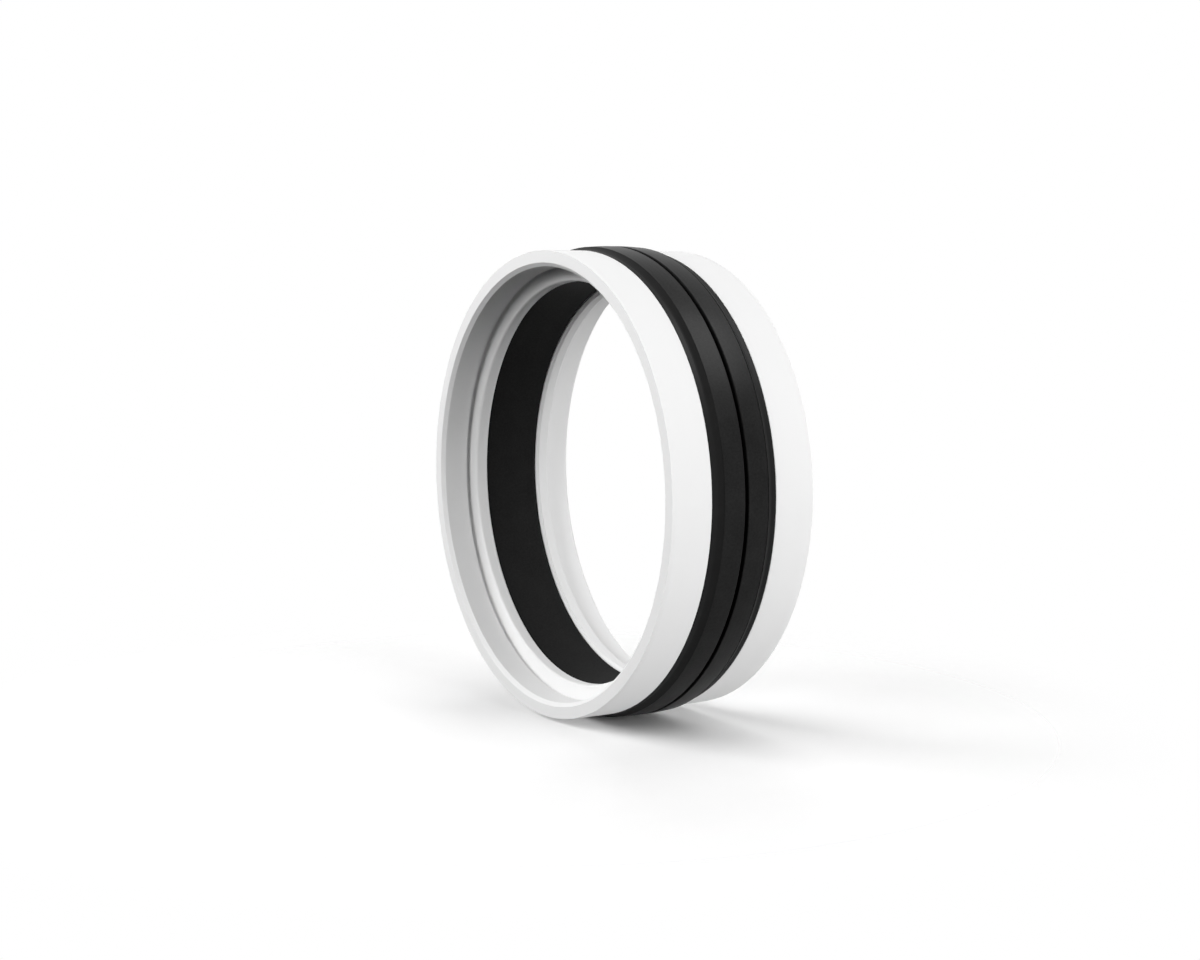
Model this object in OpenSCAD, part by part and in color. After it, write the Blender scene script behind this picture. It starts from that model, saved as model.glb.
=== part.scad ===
// Double-acting compact piston seal: a rubber sealing ring with two outer lips,
// between two back-up rings and two angled guide rings. The axis is Z, the seal
// stands on one end, and both ends are alike about the plane z = seal_h / 2.

/* [Seal] */
// Bore of the cylinder, which the guide rings run in
cylinder_d = 100; // [60:1:160]
// Radial section, from the cylinder's bore to the seat on the piston
section_t = 6.5; // [5.8:0.1:8]
// Overall length along the axis
seal_h = 34; // [30:0.5:40]
// Clearance on the radius between rings that nest
ring_gap = 0.05; // [0.02:0.01:0.1]

/* [Guide rings] */
// Width of a guide ring's rim
guide_w = 9.3; // [8.8:0.1:11]
// Radial thickness of a guide ring's rim
rim_t = 3.4; // [2.4:0.1:4]
// Depth of the step in each end, which takes the piston's shoulder
step_depth = 7.4; // [5.5:0.1:8]
// Width of the relief groove in the corner of the step
relief_w = 1.1; // [0.5:0.1:1.6]
// Depth of the relief groove into the rim
relief_t = 0.9; // [0.8:0.1:1.2]
// Radius on the leg's edge at the bore, towards the end
leg_edge_r = 0.5; // [0.2:0.1:0.8]
// Chamfer on the leg's edge at the bore, towards the rubber
leg_chamfer = 0.6; // [0.2:0.1:0.9]
// Length of the lead-in chamfer at the mouth of the step
mouth_l = 0.8; // [0.3:0.1:1.2]
// Height of the lead-in chamfer at the mouth of the step
mouth_t = 0.8; // [0.3:0.1:1]
// Length of the chamfer on the outer edge of the end face
nose_l = 1; // [0.4:0.1:2]
// Height of the chamfer on the outer edge of the end face
nose_t = 0.1; // [0.05:0.05:0.4]
// Break on the rim's edge next to the back-up ring
rim_break = 0.15; // [0.05:0.05:0.3]
// How far the leg reaches past the rim, inside the back-up ring that it centres
leg_rise = 1.1; // [0.6:0.1:1.5]

/* [Back-up rings] */
// Width of a back-up ring, its level land and its slope together
backup_w = 2.3; // [1.8:0.1:3]
// Width of the slope that leads up from the land to the lip beside it
slope_w = 1.2; // [0.6:0.1:1.6]

/* [Rubber ring] */
// Height of the lips above the guide rings, at the groove
lip_rise = 1; // [0.6:0.1:1.6]
// How much lower a lip is at its outer edge than at the groove
lip_fall = 0.2; // [0.05:0.05:0.4]
// Break on a lip's outer edge, next to the back-up ring
lip_break = 0.15; // [0.05:0.05:0.3]
// Width of the groove between the lips
groove_w = 0.9; // [0.5:0.1:1.5]
// Depth of the groove between the lips
groove_depth = 2; // [1:0.1:3]
// Radius on the lips' edges at the groove
groove_edge_r = 0.2; // [0.1:0.05:0.3]
// How far the rubber's bore stands back from the legs' bore
bore_relief = 0.7; // [0.3:0.1:1.2]
// Radius on the rubber's edges at the bore
bore_edge_r = 0.5; // [0.2:0.1:0.8]

/* [Hidden] */
cylinder_r = cylinder_d / 2;
bore_r = cylinder_r - section_t;
step_r = cylinder_r - rim_t;
rubber_r = bore_r + bore_relief;
crest_r = cylinder_r + lip_rise;
shoulder_r = crest_r - lip_fall;
// Heights above an end at which the rubber's body and its lip start
rubber_z = guide_w + leg_rise;
lip_z = guide_w + backup_w;
// Height above the lower end of the groove's lower side
groove_z = (seal_h - groove_w) / 2;
// How far a cut reaches past the surface that it starts from
reach = 0.5;
arc_fn = 48;
ring_fn = 180;
// Straight pieces that a slope or a crown is made of
curve_n = 4;
white = [0.93, 0.93, 0.91];
back_up_black = [0.10, 0.10, 0.11];
rubber_black = [0.06, 0.06, 0.07];

// What an arc of radius r, centred at (r, r), leaves of the square corner at the
// origin. It rounds an outside corner as a cut.
module corner_rest(r) {
    difference() {
        translate([-reach, -reach]) square(r + reach);
        translate([r, r]) circle(r = r, $fn = arc_fn);
    }
}

// Section of a guide ring that stands on its end: rim outside, leg running in. A relief
// groove with a round bottom runs along the corner of the step, beside the leg.
module guide_section() {
    difference() {
        polygon([
            [step_r + mouth_t, 0],
            [cylinder_r - nose_t, 0],
            [cylinder_r, nose_l],
            [cylinder_r, guide_w - rim_break],
            [cylinder_r - rim_break, guide_w],
            [step_r, guide_w],
            [step_r, rubber_z],
            [bore_r + leg_chamfer, rubber_z],
            [bore_r, rubber_z - leg_chamfer],
            [bore_r, step_depth],
            [step_r, step_depth],
            [step_r, mouth_l]
        ]);
        translate([bore_r, step_depth]) corner_rest(leg_edge_r);
        translate([step_r + relief_t - relief_w / 2, step_depth - relief_w / 2]) {
            circle(d = relief_w, $fn = arc_fn);
            translate([-reach - relief_t, -relief_w / 2]) square([reach + relief_t, relief_w]);
        }
    }
}

// Section of a back-up ring that lies on a guide ring's rim: level beside the rim, then
// sloping up in a hollow curve to the lip
module backup_section() {
    land_z = lip_z - slope_w;
    polygon(concat(
        [[step_r + ring_gap, guide_w], [cylinder_r, guide_w]],
        [for (i = [0:curve_n])
            [cylinder_r + (shoulder_r - cylinder_r) * pow(i / curve_n, 1.5), land_z + slope_w * i / curve_n]],
        [[step_r + ring_gap, lip_z]]
    ));
}

// Outline of the rubber's lower half, from the bore round the lip to the middle. The lip is
// crowned, so it falls off a little towards the back-up ring.
function rubber_outline() = concat(
    [[rubber_r, rubber_z], [step_r, rubber_z], [step_r, lip_z], [shoulder_r - lip_break, lip_z]],
    [for (i = [0:curve_n])
        [crest_r - lip_fall * pow(1 - i / curve_n, 2),
            lip_z + lip_break + (groove_z - lip_z - lip_break) * i / curve_n]]
);

// Section of the rubber ring, with its lips, its groove and its bore
module rubber_section() {
    lower = rubber_outline();
    upper = [for (i = [len(lower) - 1:-1:0]) [lower[i][0], seal_h - lower[i][1]]];
    difference() {
        polygon(concat(lower, upper));
        translate([crest_r - groove_depth, groove_z])
            square([groove_depth + reach, groove_w]);
        for (end = [0, 1]) {
            translate([0, end * seal_h]) mirror([0, end]) {
                translate([rubber_r, rubber_z]) corner_rest(bore_edge_r);
                translate([crest_r, groove_z]) rotate(180) corner_rest(groove_edge_r);
            }
        }
    }
}

// Turns what is modelled for the lower end over to the upper end
module at_upper_end() {
    translate([0, 0, seal_h]) mirror([0, 0, 1]) children();
}

module guide_ring() {
    color(white) rotate_extrude($fn = ring_fn) guide_section();
}

module backup_ring() {
    color(back_up_black) rotate_extrude($fn = ring_fn) backup_section();
}

module rubber_seal_ring() {
    color(rubber_black) rotate_extrude($fn = ring_fn) rubber_section();
}

guide_ring();  // lower_guide_ring
backup_ring();  // lower_backup_ring
rubber_seal_ring();
at_upper_end() backup_ring();  // upper_backup_ring
at_upper_end() guide_ring();  // upper_guide_ring
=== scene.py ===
import bpy
from mathutils import Matrix, Vector


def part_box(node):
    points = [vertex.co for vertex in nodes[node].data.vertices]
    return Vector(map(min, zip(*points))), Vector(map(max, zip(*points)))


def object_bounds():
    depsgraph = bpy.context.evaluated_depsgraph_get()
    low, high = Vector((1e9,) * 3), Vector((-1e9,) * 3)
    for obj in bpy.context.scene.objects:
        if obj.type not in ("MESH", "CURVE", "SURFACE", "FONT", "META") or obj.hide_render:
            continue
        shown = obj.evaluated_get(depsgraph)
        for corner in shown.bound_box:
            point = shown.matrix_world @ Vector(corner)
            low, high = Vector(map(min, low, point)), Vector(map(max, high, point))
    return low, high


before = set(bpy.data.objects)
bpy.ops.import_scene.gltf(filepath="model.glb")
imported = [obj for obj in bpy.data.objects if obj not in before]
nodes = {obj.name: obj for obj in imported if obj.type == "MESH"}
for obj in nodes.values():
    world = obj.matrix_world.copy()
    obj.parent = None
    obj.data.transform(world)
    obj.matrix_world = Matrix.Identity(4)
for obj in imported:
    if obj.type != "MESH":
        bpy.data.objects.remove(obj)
cad_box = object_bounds()


# Guide rings
# Two rings of white acetal, moulded and then faced, one at each end of the seal. The rim
# runs in the cylinder, and the leg that runs in to the bore holds the rubber between them.
# They are matt, with a grain as fine as the mould's, and bare of any marking.

GUIDE_RINGS = ("lower_guide_ring", "upper_guide_ring")
ACETAL_WHITE = (0.83, 0.83, 0.83, 1)
ACETAL_SHADED = (0.81, 0.81, 0.81, 1)
ACETAL_ROUGHNESS = (0.5, 0.6)
ACETAL_SPECULAR = 0.06


def new_material(name):
    """An empty node material, its principled shader, and a function that adds a node to it."""
    material = bpy.data.materials.new(name)
    material.use_nodes = True
    tree = material.node_tree
    tree.nodes.clear()
    output = tree.nodes.new("ShaderNodeOutputMaterial")
    shader = tree.nodes.new("ShaderNodeBsdfPrincipled")
    tree.links.new(shader.outputs["BSDF"], output.inputs["Surface"])

    def add(kind, **inputs):
        node = tree.nodes.new(kind)
        for key, value in inputs.items():
            socket = node.inputs[key.replace("_", " ")]
            if isinstance(value, bpy.types.NodeSocket):
                tree.links.new(value, socket)
            else:
                socket.default_value = value
        return node

    return material, shader, add


def object_place(add):
    """Where a point lies on the object, in metres, so that a pattern stays put on it."""
    return add("ShaderNodeTexCoord").outputs["Object"]


def blend_colour(add, tree, factor, first, second):
    """The first colour turning to the second one as factor goes from 0 to 1."""
    mix = tree.nodes.new("ShaderNodeMix")
    mix.data_type = "RGBA"
    tree.links.new(factor, mix.inputs["Factor"])
    mix.inputs["A"].default_value = first
    mix.inputs["B"].default_value = second
    return mix.outputs["Result"]


def spread(add, value, low, high):
    """A 0 to 1 value stretched to run from low to high."""
    node = add("ShaderNodeMapRange", Value=value)
    node.inputs["To Min"].default_value = low
    node.inputs["To Max"].default_value = high
    return node.outputs["Result"]


def acetal():
    """White acetal: faint clouds in the white, and a fine moulded grain."""
    material, shader, add = new_material("white_acetal_matt")
    tree = material.node_tree
    place = object_place(add)
    clouds = add("ShaderNodeTexNoise", Vector=place, Scale=90, Detail=3)
    grain = add("ShaderNodeTexNoise", Vector=place, Scale=2600, Detail=2)
    colour = blend_colour(add, tree, clouds.outputs["Fac"], ACETAL_WHITE, ACETAL_SHADED)
    tree.links.new(colour, shader.inputs["Base Color"])
    tree.links.new(spread(add, grain.outputs["Fac"], *ACETAL_ROUGHNESS), shader.inputs["Roughness"])
    bump = add("ShaderNodeBump", Height=grain.outputs["Fac"], Strength=0.15, Distance=0.00002)
    tree.links.new(bump.outputs["Normal"], shader.inputs["Normal"])
    shader.inputs["Specular IOR Level"].default_value = ACETAL_SPECULAR
    return material


acetal_finish = acetal()
for name in GUIDE_RINGS:
    nodes[name].data.materials.clear()
    nodes[name].data.materials.append(acetal_finish)


# Back-up rings
# Two narrow rings of hard black plastic, turned, that lie on the guide rings' rims and keep
# the rubber from creeping into the gap at the cylinder. Their land and slope show outside.

BACKUP_RINGS = ("lower_backup_ring", "upper_backup_ring")
BACKUP_BLACK = (0.009, 0.009, 0.009, 1)
BACKUP_GREY = (0.013, 0.013, 0.013, 1)
BACKUP_ROUGHNESS = (0.38, 0.46)
BACKUP_SPECULAR = 0.06


def backup_plastic():
    """Hard black plastic with the fine marks of turning round the axis."""
    material, shader, add = new_material("black_backup_turned")
    tree = material.node_tree
    place = object_place(add)
    split = add("ShaderNodeSeparateXYZ", Vector=place)
    along = add("ShaderNodeCombineXYZ", Z=split.outputs["Z"])
    marks = add("ShaderNodeTexNoise", Vector=along.outputs["Vector"], Scale=9000, Detail=2)
    clouds = add("ShaderNodeTexNoise", Vector=place, Scale=300, Detail=2)
    colour = blend_colour(add, tree, clouds.outputs["Fac"], BACKUP_BLACK, BACKUP_GREY)
    tree.links.new(colour, shader.inputs["Base Color"])
    tree.links.new(spread(add, clouds.outputs["Fac"], *BACKUP_ROUGHNESS), shader.inputs["Roughness"])
    bump = add("ShaderNodeBump", Height=marks.outputs["Fac"], Strength=0.2, Distance=0.00001)
    tree.links.new(bump.outputs["Normal"], shader.inputs["Normal"])
    shader.inputs["Specular IOR Level"].default_value = BACKUP_SPECULAR
    return material


backup_finish = backup_plastic()
for name in BACKUP_RINGS:
    nodes[name].data.materials.clear()
    nodes[name].data.materials.append(backup_finish)


# Rubber ring
# One ring of black nitrile rubber, moulded, with two lips outside that press on the cylinder
# and a plain bore that seats on the piston. It has a soft sheen and a faint bloom.

RUBBER_BLACK = (0.0065, 0.0065, 0.0065, 1)
RUBBER_BLOOM = (0.0155, 0.0155, 0.0155, 1)
RUBBER_SPECKLE = 0.8
RUBBER_ROUGHNESS = (0.3, 0.42)
RUBBER_SPECULAR = 0.06
BORE_DULLER = 0.4
BORE_DULL_WITHIN = 0.046
BORE_DULL_FROM = 0.047


def rubber():
    """Black rubber: a faint bloom, speckled by a fine grain, and duller in the bore."""
    material, shader, add = new_material("black_rubber_moulded")
    tree = material.node_tree
    place = object_place(add)
    bloom = add("ShaderNodeTexNoise", Vector=place, Scale=140, Detail=4)
    grain = add("ShaderNodeTexNoise", Vector=place, Scale=2600, Detail=3)
    speckle = spread(add, grain.outputs["Fac"], -RUBBER_SPECKLE, RUBBER_SPECKLE)
    shade = tree.nodes.new("ShaderNodeMath")
    shade.operation = "ADD"
    shade.use_clamp = True
    tree.links.new(bloom.outputs["Fac"], shade.inputs[0])
    tree.links.new(speckle, shade.inputs[1])
    colour = blend_colour(add, tree, shade.outputs["Value"], RUBBER_BLACK, RUBBER_BLOOM)
    tree.links.new(colour, shader.inputs["Base Color"])
    flat = tree.nodes.new("ShaderNodeVectorMath")
    flat.operation = "MULTIPLY"
    flat.inputs[1].default_value = (1, 1, 0)
    tree.links.new(place, flat.inputs[0])
    radius = tree.nodes.new("ShaderNodeVectorMath")
    radius.operation = "LENGTH"
    tree.links.new(flat.outputs["Vector"], radius.inputs[0])
    inside = add("ShaderNodeMapRange", Value=radius.outputs["Value"])
    inside.inputs["From Min"].default_value = BORE_DULL_FROM
    inside.inputs["From Max"].default_value = BORE_DULL_WITHIN
    duller = tree.nodes.new("ShaderNodeMath")
    duller.operation = "MULTIPLY_ADD"
    tree.links.new(inside.outputs["Result"], duller.inputs[0])
    duller.inputs[1].default_value = BORE_DULLER
    tree.links.new(spread(add, bloom.outputs["Fac"], *RUBBER_ROUGHNESS), duller.inputs[2])
    tree.links.new(duller.outputs["Value"], shader.inputs["Roughness"])
    bump = add("ShaderNodeBump", Height=grain.outputs["Fac"], Strength=0.25, Distance=0.00002)
    tree.links.new(bump.outputs["Normal"], shader.inputs["Normal"])
    shader.inputs["Specular IOR Level"].default_value = RUBBER_SPECULAR
    return material


nodes["rubber_seal_ring"].data.materials.clear()
nodes["rubber_seal_ring"].data.materials.append(rubber())


# Camera
# The photograph looks at the lower end, with the seal's axis level and turned 58 degrees
# away from the line of sight. The camera is rolled so that -Y of the part is up in the frame.

CAMERA_AT = Vector((0.3662, -0.0428, -0.2118))
CAMERA_AIM = Vector((-0.0045, 0.0001, 0.0172))
CAMERA_UP = Vector((0, -1, 0))
CAMERA_LENS = 59.65
SENSOR_WIDTH = 36

lens = bpy.data.cameras.new("camera")
lens.sensor_width = SENSOR_WIDTH
lens.lens = CAMERA_LENS
lens.clip_start = 0.01
lens.clip_end = 50
camera = bpy.data.objects.new("camera", lens)
bpy.context.scene.collection.objects.link(camera)
bpy.context.scene.camera = camera
forward = (CAMERA_AIM - CAMERA_AT).normalized()
rightward = forward.cross(CAMERA_UP).normalized()
upward = rightward.cross(forward)
turned = Matrix((rightward, upward, -forward)).transposed().to_4x4()
camera.matrix_world = Matrix.Translation(CAMERA_AT) @ turned


# Floors
# The seal rests on its lower end for every other view, on a floor at z = 0. In the photograph
# it stands on its rim, so a second floor touches the lips and shows in their gloss. Each one
# shows from its upper side only, and neither lights the seal.

FLOOR_REACH = 0.15
FLOOR_PLAIN_TO = 0.06
FLOOR_DROP = 0.0001
FLOOR_WHITE = (0.97, 0.97, 0.97, 1)


def floor_material(name):
    """A plain white that fades into the white room, and can't be seen from behind."""
    material, shader, add = new_material(name)
    tree = material.node_tree
    shader.inputs["Base Color"].default_value = FLOOR_WHITE
    shader.inputs["Roughness"].default_value = 1
    shader.inputs["Specular IOR Level"].default_value = 0
    clear = add("ShaderNodeBsdfTransparent")
    away = tree.nodes.new("ShaderNodeVectorMath")
    away.operation = "LENGTH"
    tree.links.new(object_place(add), away.inputs[0])
    fade = add("ShaderNodeMapRange", Value=away.outputs["Value"])
    fade.interpolation_type = "SMOOTHSTEP"
    fade.inputs["From Min"].default_value = FLOOR_PLAIN_TO
    fade.inputs["From Max"].default_value = FLOOR_REACH
    either = tree.nodes.new("ShaderNodeMath")
    either.operation = "MAXIMUM"
    tree.links.new(fade.outputs["Result"], either.inputs[0])
    tree.links.new(add("ShaderNodeNewGeometry").outputs["Backfacing"], either.inputs[1])
    mix = tree.nodes.new("ShaderNodeMixShader")
    tree.links.new(either.outputs["Value"], mix.inputs[0])
    tree.links.new(shader.outputs["BSDF"], mix.inputs[1])
    tree.links.new(clear.outputs["BSDF"], mix.inputs[2])
    output = next(n for n in tree.nodes if n.type == "OUTPUT_MATERIAL")
    tree.links.new(mix.outputs["Shader"], output.inputs["Surface"])
    return material


def add_floor(name, centre, across, along):
    """A square floor about centre; its upper side is where across x along points."""
    square = ((-1, -1), (1, -1), (1, 1), (-1, 1))
    corners = [centre + FLOOR_REACH * (a * across + b * along) for a, b in square]
    mesh = bpy.data.meshes.new(name)
    mesh.from_pydata(corners, [], [(0, 1, 2, 3)])
    floor = bpy.data.objects.new(name, mesh)
    mesh.materials.append(floor_material(name))
    bpy.context.scene.collection.objects.link(floor)
    floor.visible_diffuse = False
    floor.visible_glossy = False
    floor.visible_transmission = False
    floor.visible_shadow = False
    return floor


X, Y, Z = Vector((1, 0, 0)), Vector((0, 1, 0)), Vector((0, 0, 1))
lips_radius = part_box("rubber_seal_ring")[1].y
add_floor("floor", Vector((0, 0, -FLOOR_DROP)), X, Y)
photo_floor = add_floor("photo_floor", Vector((0, lips_radius + FLOOR_DROP, 0)), X, Z)
photo_floor.visible_glossy = True


# Light
# Plain studio light as the photograph has it, with -Y up: soft lamps at the left and right,
# weaker ones above, and a narrow one below for the floor's glow. The sheen lamp lights the
# gloss alone. The room is white to look at, and dim as a light.

ROOM_WHITE = (1, 1, 1, 1)
ROOM_LEVEL = 0.01
LAMP_AWAY = 0.9
LAMP_SIZE = 0.5
BELOW_AWAY = 0.4
BELOW_LENGTH = 0.8
BELOW_WIDTH = 0.03
middle = (cad_box[0] + cad_box[1]) / 2
photo_up = CAMERA_UP
photo_right = rightward
photo_near = photo_right.cross(photo_up)


def add_lamp(name, direction, watts, for_gloss=False, away=LAMP_AWAY, size=(LAMP_SIZE, LAMP_SIZE)):
    """A soft lamp in that direction from the seal's middle, for its colours or for its gloss."""
    lamp = bpy.data.lights.new(name, "AREA")
    lamp.shape = "RECTANGLE"
    lamp.size, lamp.size_y = size
    lamp.energy = watts
    holder = bpy.data.objects.new(name, lamp)
    holder.location = middle + away * direction.normalized()
    holder.rotation_mode = "QUATERNION"
    holder.rotation_quaternion = (-direction).to_track_quat("-Z", "Y")
    holder.visible_glossy = for_gloss
    holder.visible_diffuse = not for_gloss
    bpy.context.scene.collection.objects.link(holder)
    return holder


add_lamp("left_front_lamp", photo_near + 0.7 * photo_up - photo_right, watts=4.8)
add_lamp("left_lamp", photo_up - 2 * photo_right, watts=5.0)
add_lamp("right_front_lamp", photo_near + photo_right, watts=5.1)
add_lamp("right_high_lamp", photo_near + photo_up + photo_right, watts=1.7)
add_lamp("right_lamp", photo_right, watts=1.8)
add_lamp("sheen_lamp", photo_up + 0.8 * photo_right - 0.2 * Z, watts=6.5, for_gloss=True)
add_lamp("right_back_lamp", photo_up + photo_right - photo_near, watts=1.2)
add_lamp("top_lamp", photo_up, watts=1.2)
add_lamp("top_back_lamp", photo_up - photo_near, watts=2.3)
add_lamp("floor_glow", -photo_up, watts=0.8, away=BELOW_AWAY, size=(BELOW_LENGTH, BELOW_WIDTH))

world = bpy.data.worlds.new("room")
world.use_nodes = True
bpy.context.scene.world = world
room = world.node_tree
room.nodes.clear()
seen = room.nodes.new("ShaderNodeBackground")
seen.inputs["Color"].default_value = ROOM_WHITE
seen.inputs["Strength"].default_value = 1
lit = room.nodes.new("ShaderNodeBackground")
lit.inputs["Color"].default_value = ROOM_WHITE
lit.inputs["Strength"].default_value = ROOM_LEVEL
rays = room.nodes.new("ShaderNodeLightPath")
looking = rays.outputs["Is Camera Ray"]
for other in ("Is Glossy Ray", "Is Transmission Ray"):
    either = room.nodes.new("ShaderNodeMath")
    either.operation = "MAXIMUM"
    room.links.new(looking, either.inputs[0])
    room.links.new(rays.outputs[other], either.inputs[1])
    looking = either.outputs["Value"]
mix = room.nodes.new("ShaderNodeMixShader")
out = room.nodes.new("ShaderNodeOutputWorld")
room.links.new(looking, mix.inputs[0])
room.links.new(lit.outputs["Background"], mix.inputs[1])
room.links.new(seen.outputs["Background"], mix.inputs[2])
room.links.new(mix.outputs["Shader"], out.inputs["Surface"])
bpy.context.scene.view_settings.view_transform = "Standard"
